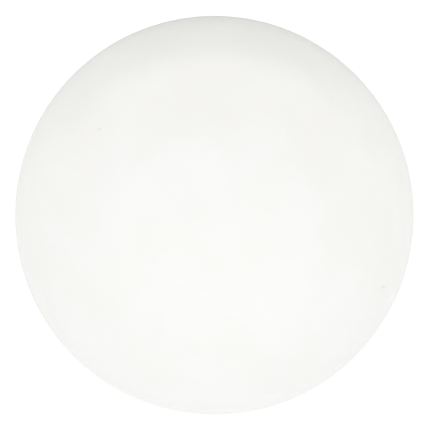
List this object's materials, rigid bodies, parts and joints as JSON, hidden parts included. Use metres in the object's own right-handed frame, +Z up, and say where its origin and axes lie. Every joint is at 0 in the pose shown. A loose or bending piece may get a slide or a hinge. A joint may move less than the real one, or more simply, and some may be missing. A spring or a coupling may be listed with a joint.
{
  "type": "cue ball",
  "caption": "Plain white pool cue ball with a steel core cast at its centre, for tables that pick the cue ball out with a magnet.",
  "frame": {"origin": "centre of the ball", "axes": "+Z up, away from the surface that the ball rests on; the ball is the same about every axis, and +X and +Y are free"},
  "size_m": [0.0572, 0.0572, 0.0572],
  "materials": {
    "white_phenolic": "polished",
    "core_resin": "matte",
    "core_steel": "satin"
  },
  "bodies": {
    "root": {"outer_shell": "white_phenolic", "inner_ball": "core_resin", "steel_core": "core_steel"}
  },
  "joints": []
}
